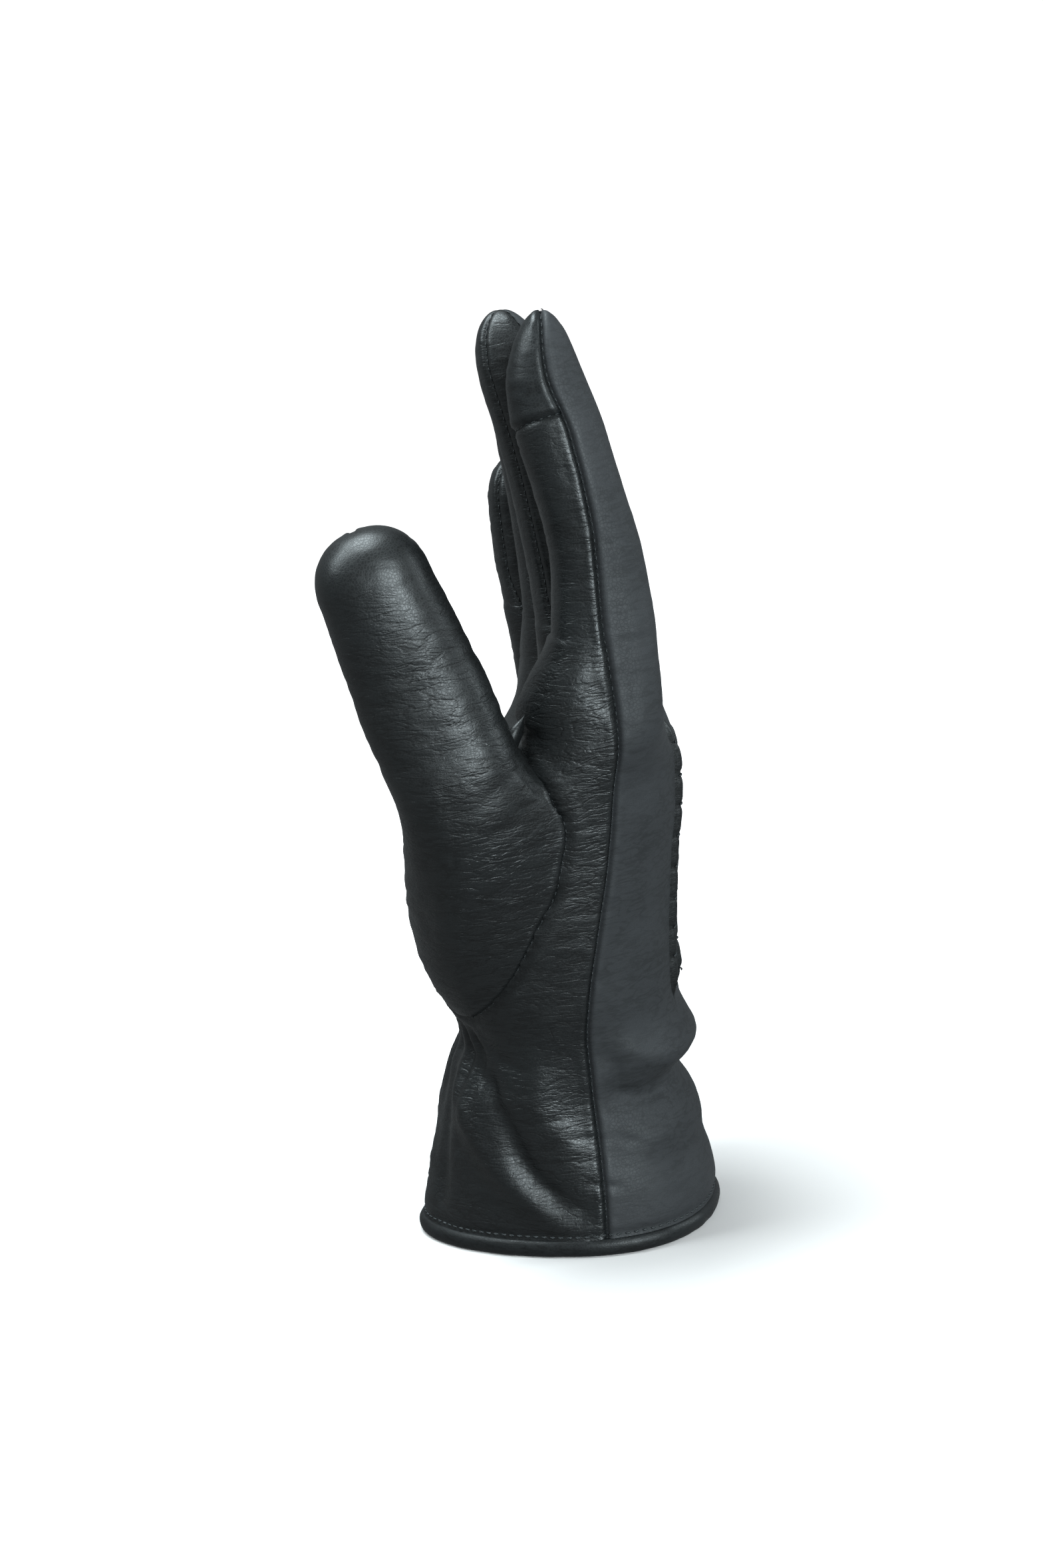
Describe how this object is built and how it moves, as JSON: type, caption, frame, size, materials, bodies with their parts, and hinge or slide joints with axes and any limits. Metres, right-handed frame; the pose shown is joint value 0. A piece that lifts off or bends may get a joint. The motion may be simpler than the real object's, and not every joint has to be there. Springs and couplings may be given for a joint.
{
  "type": "leather dress glove",
  "caption": "Right-hand lined leather dress glove with set-in thumb, fourchettes, raised tucks on the back, gathered wrist and bound cuff; fingers and thumb bend.",
  "frame": {"origin": "middle of the cuff mouth, in the plane of the cuff rim", "axes": "+Z towards the fingertips, +X towards the back of the hand, -X towards the palm, -Y towards the thumb and index side, +Y towards the little finger"},
  "size_m": [0.0835, 0.1033, 0.229],
  "materials": {
    "palm_leather": "near-black semi-matt nappa leather with fine wrinkled grain",
    "back_leather": "charcoal semi-matt nappa leather, smoother grain",
    "trim_leather": "near-black nappa leather, tightly rolled or flat",
    "lining": "black knitted lining with a soft nap",
    "thread": "black twisted sewing thread",
    "elastic": "black covered elastic tape"
  },
  "bodies": {
    "hand": {"palm_panel": "palm_leather", "back_panel": "back_leather", "hand_lining": "lining", "thumb_base_leather": "palm_leather", "thumb_base_lining": "lining", "thumb_quirk": "palm_leather", "cuff_binding": "trim_leather", "hem_stitching": "thread", "side_seam_stitching": "thread", "wrist_elastic": "elastic", "back_tucks": "back_leather", "tuck_stitching": "thread", "index_root_sleeve": "palm_leather", "middle_root_sleeve": "palm_leather", "ring_root_sleeve": "palm_leather", "little_root_sleeve": "palm_leather", "thumb_root_sleeve": "palm_leather"},
    "index_lower": {"index_lower_front": "palm_leather", "index_lower_back": "back_leather", "index_lower_fourchette": "palm_leather", "index_lower_lining": "lining", "index_knuckle_sleeve": "palm_leather"},
    "index_upper": {"index_upper_front": "palm_leather", "index_upper_back": "back_leather", "index_upper_fourchette": "palm_leather", "index_upper_lining": "lining", "index_tip_patch": "trim_leather"},
    "middle_lower": {"middle_lower_front": "palm_leather", "middle_lower_back": "back_leather", "middle_lower_fourchettes": "palm_leather", "middle_lower_lining": "lining", "middle_knuckle_sleeve": "palm_leather"},
    "middle_upper": {"middle_upper_front": "palm_leather", "middle_upper_back": "back_leather", "middle_upper_fourchettes": "palm_leather", "middle_upper_lining": "lining"},
    "ring_lower": {"ring_lower_front": "palm_leather", "ring_lower_back": "back_leather", "ring_lower_fourchettes": "palm_leather", "ring_lower_lining": "lining", "ring_knuckle_sleeve": "palm_leather"},
    "ring_upper": {"ring_upper_front": "palm_leather", "ring_upper_back": "back_leather", "ring_upper_fourchettes": "palm_leather", "ring_upper_lining": "lining"},
    "little_lower": {"little_lower_front": "palm_leather", "little_lower_back": "back_leather", "little_lower_fourchette": "palm_leather", "little_lower_lining": "lining", "little_knuckle_sleeve": "palm_leather"},
    "little_upper": {"little_upper_front": "palm_leather", "little_upper_back": "back_leather", "little_upper_fourchette": "palm_leather", "little_upper_lining": "lining"},
    "thumb_lower": {"thumb_lower_leather": "palm_leather", "thumb_lower_lining": "lining", "thumb_knuckle_sleeve": "palm_leather"},
    "thumb_upper": {"thumb_upper_leather": "palm_leather", "thumb_upper_lining": "lining"}
  },
  "joints": [
    {"name": "index_base_bend", "type": "hinge", "parent": "hand", "child": "index_lower", "pos_m": [0.0223, -0.0345, 0.153], "axis": [0, -1, 0], "range_deg": [-10, 36], "deforming": ["index_root_sleeve"]},
    {"name": "index_knuckle_bend", "type": "hinge", "parent": "index_lower", "child": "index_upper", "pos_m": [0.021, -0.0345, 0.188], "axis": [0, -1, 0], "range_deg": [0, 60], "deforming": ["index_knuckle_sleeve"]},
    {"name": "middle_base_bend", "type": "hinge", "parent": "hand", "child": "middle_lower", "pos_m": [0.0193, -0.0115, 0.153], "axis": [0, -1, 0], "range_deg": [-10, 45], "deforming": ["middle_root_sleeve"]},
    {"name": "middle_knuckle_bend", "type": "hinge", "parent": "middle_lower", "child": "middle_upper", "pos_m": [0.0152, -0.0115, 0.188], "axis": [0, -1, 0], "range_deg": [0, 60], "deforming": ["middle_knuckle_sleeve"]},
    {"name": "ring_base_bend", "type": "hinge", "parent": "hand", "child": "ring_lower", "pos_m": [0.0158, 0.0115, 0.153], "axis": [0, -1, 0], "range_deg": [-10, 45], "deforming": ["ring_root_sleeve"]},
    {"name": "ring_knuckle_bend", "type": "hinge", "parent": "ring_lower", "child": "ring_upper", "pos_m": [0.012, 0.0115, 0.184], "axis": [0, -1, 0], "range_deg": [0, 60], "deforming": ["ring_knuckle_sleeve"]},
    {"name": "little_base_bend", "type": "hinge", "parent": "hand", "child": "little_lower", "pos_m": [0.0114, 0.0339, 0.146], "axis": [0, -1, 0], "range_deg": [-10, 45], "deforming": ["little_root_sleeve"]},
    {"name": "little_knuckle_bend", "type": "hinge", "parent": "little_lower", "child": "little_upper", "pos_m": [0.009, 0.0339, 0.168], "axis": [0, -1, 0], "range_deg": [0, 60], "deforming": ["little_knuckle_sleeve"]},
    {"name": "thumb_base_swing", "type": "hinge", "parent": "hand", "child": "thumb_lower", "pos_m": [-0.02, -0.044, 0.14], "axis": [0.9563, 0, 0.2924], "range_deg": [-10, 40], "deforming": ["thumb_root_sleeve"]},
    {"name": "thumb_knuckle_bend", "type": "hinge", "parent": "thumb_lower", "child": "thumb_upper", "pos_m": [-0.026, -0.044, 0.1615], "axis": [-0.9563, 0, -0.2924], "range_deg": [0, 30], "deforming": ["thumb_knuckle_sleeve"]}
  ]
}
